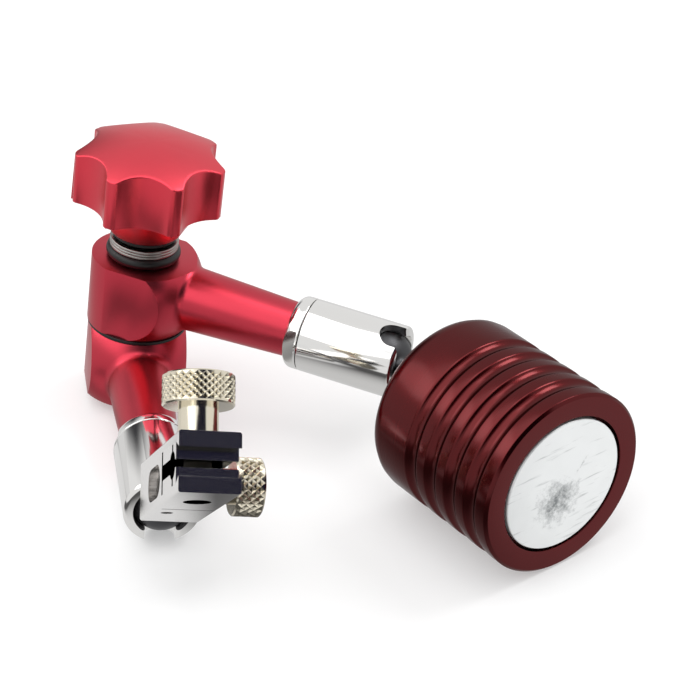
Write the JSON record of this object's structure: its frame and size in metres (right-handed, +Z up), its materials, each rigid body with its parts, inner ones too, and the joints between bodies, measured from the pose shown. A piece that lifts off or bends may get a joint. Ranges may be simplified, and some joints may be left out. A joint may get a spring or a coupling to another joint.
{
  "type": "articulated dial indicator stand on a magnetic base",
  "caption": "Small jointed stand with a round magnetic base, ball-ended arms locked by one star knob, and a clamp block that grips an indicator's stem or dovetail.",
  "frame": {"origin": "centre of the flat magnet face of the base", "axes": "+X along the base's axis, out of the magnet face; +Z up, away from the surface on which the folded stand lies"},
  "size_m": [0.0916, 0.0705, 0.047],
  "materials": {
    "base_anodised": "dark red anodised, satin",
    "ground_steel": "ground and plated",
    "magnet": "plain",
    "ball_steel": "dark satin",
    "arm_anodised": "red anodised, semi gloss",
    "socket_chrome": "polished",
    "inner_steel": "turned",
    "black_nylon": "matt",
    "washer_steel": "turned",
    "black_rubber": "matt",
    "knob_anodised": "bright red anodised, gloss",
    "clamp_nickel": "ground, nickel plated",
    "knurl_nickel": "diamond knurled, nickel plated"
  },
  "bodies": {
    "base": {"magnet_shell": "base_anodised", "pole_disc": "ground_steel", "magnet_core": "magnet"},
    "base_stud": {"base_ball_stud": "ball_steel"},
    "upper_socket": {"upper_socket": "socket_chrome"},
    "upper_arm": {"upper_arm": "arm_anodised", "upper_collar": "socket_chrome", "upper_retainer": "inner_steel", "elbow_washer": "black_nylon", "o_ring": "black_rubber"},
    "upper_push": {"upper_push_rod": "inner_steel", "upper_pressure_pad": "inner_steel"},
    "thrust": {"thrust_sleeve": "inner_steel", "spring_washers": "washer_steel"},
    "knob": {"star_knob": "knob_anodised", "knob_washer": "black_nylon", "knob_insert": "inner_steel"},
    "lower_arm": {"lower_arm": "arm_anodised", "lower_collar": "socket_chrome", "lower_retainer": "inner_steel"},
    "spindle": {"elbow_spindle": "inner_steel"},
    "lower_push": {"lower_push_rod": "inner_steel", "lower_pressure_pad": "inner_steel"},
    "lower_socket": {"lower_socket": "socket_chrome"},
    "clamp_stud": {"clamp_ball_stud": "ball_steel"},
    "clamp": {"clamp_block": "clamp_nickel"},
    "clamp_screw": {"clamp_screw": "knurl_nickel"},
    "side_screw": {"side_screw": "knurl_nickel"}
  },
  "joints": [
    {"name": "base_spin", "type": "hinge", "parent": "base", "child": "base_stud", "pos_m": [0, 0, 0], "axis": [1, 0, 0], "continuous": true},
    {"name": "base_tilt", "type": "hinge", "parent": "base_stud", "child": "upper_socket", "pos_m": [-0.0442, 0, 0], "axis": [0, -0.2278, -0.9737], "range_deg": [0, 66]},
    {"name": "upper_turn", "type": "hinge", "parent": "upper_socket", "child": "upper_arm", "pos_m": [-0.0442, 0, 0], "axis": [-0.8353, -0.5354, 0.1252], "continuous": true},
    {"name": "knob_turn", "type": "hinge", "parent": "upper_arm", "child": "knob", "pos_m": [-0.0812, -0.02423, -0.00146], "axis": [0.0719, 0.1195, 0.9902], "range_deg": [0, 270]},
    {"name": "thrust_travel", "type": "slide", "parent": "upper_arm", "child": "thrust", "axis": [0.0719, 0.1195, 0.9902], "range_m": [0, 0.00025025]},
    {"name": "upper_rod_travel", "type": "slide", "parent": "upper_arm", "child": "upper_push", "axis": [-0.8353, -0.5354, 0.1252], "range_m": [0, 0.00014448]},
    {"name": "elbow_turn", "type": "hinge", "parent": "upper_arm", "child": "lower_arm", "pos_m": [-0.0812, -0.02423, -0.00146], "axis": [0.0719, 0.1195, 0.9902], "range_deg": [-190, 14]},
    {"name": "spindle_travel", "type": "slide", "parent": "lower_arm", "child": "spindle", "axis": [-0.0719, -0.1195, -0.9902], "range_m": [0, 0.00068819]},
    {"name": "lower_rod_travel", "type": "slide", "parent": "lower_arm", "child": "lower_push", "axis": [-0.8986, 0.4386, 0.0123], "range_m": [0, 0.00039733]},
    {"name": "lower_turn", "type": "hinge", "parent": "lower_arm", "child": "lower_socket", "pos_m": [-0.04374, -0.0436, -0.00891], "axis": [0.8986, -0.4386, -0.0123], "continuous": true},
    {"name": "clamp_tilt", "type": "hinge", "parent": "lower_socket", "child": "clamp_stud", "pos_m": [-0.04374, -0.0436, -0.00891], "axis": [0.4328, 0.8907, -0.1389], "range_deg": [-25, 114]},
    {"name": "clamp_spin", "type": "hinge", "parent": "clamp_stud", "child": "clamp", "pos_m": [-0.04374, -0.0436, -0.00891], "axis": [0.7144, -0.1729, 0.678], "continuous": true},
    {"name": "clamp_screw_turn", "type": "hinge", "parent": "clamp", "child": "clamp_screw", "pos_m": [-0.0268, -0.04643, 0.01264], "axis": [-0.567, 0.4247, 0.7057], "range_deg": [-360, 360]},
    {"name": "side_screw_turn", "type": "hinge", "parent": "clamp", "child": "side_screw", "pos_m": [-0.03089, -0.04226, 0.00061], "axis": [0.41, 0.8887, -0.2054], "range_deg": [-360, 360]}
  ],
  "couplings": [
    {"joint": "thrust_travel", "follows": "knob_turn", "m_per_rad": 0.000053052},
    {"joint": "upper_rod_travel", "follows": "knob_turn", "m_per_rad": 0.000030629},
    {"joint": "spindle_travel", "follows": "knob_turn", "m_per_rad": 0.00014589},
    {"joint": "lower_rod_travel", "follows": "knob_turn", "m_per_rad": 0.000084231}
  ]
}
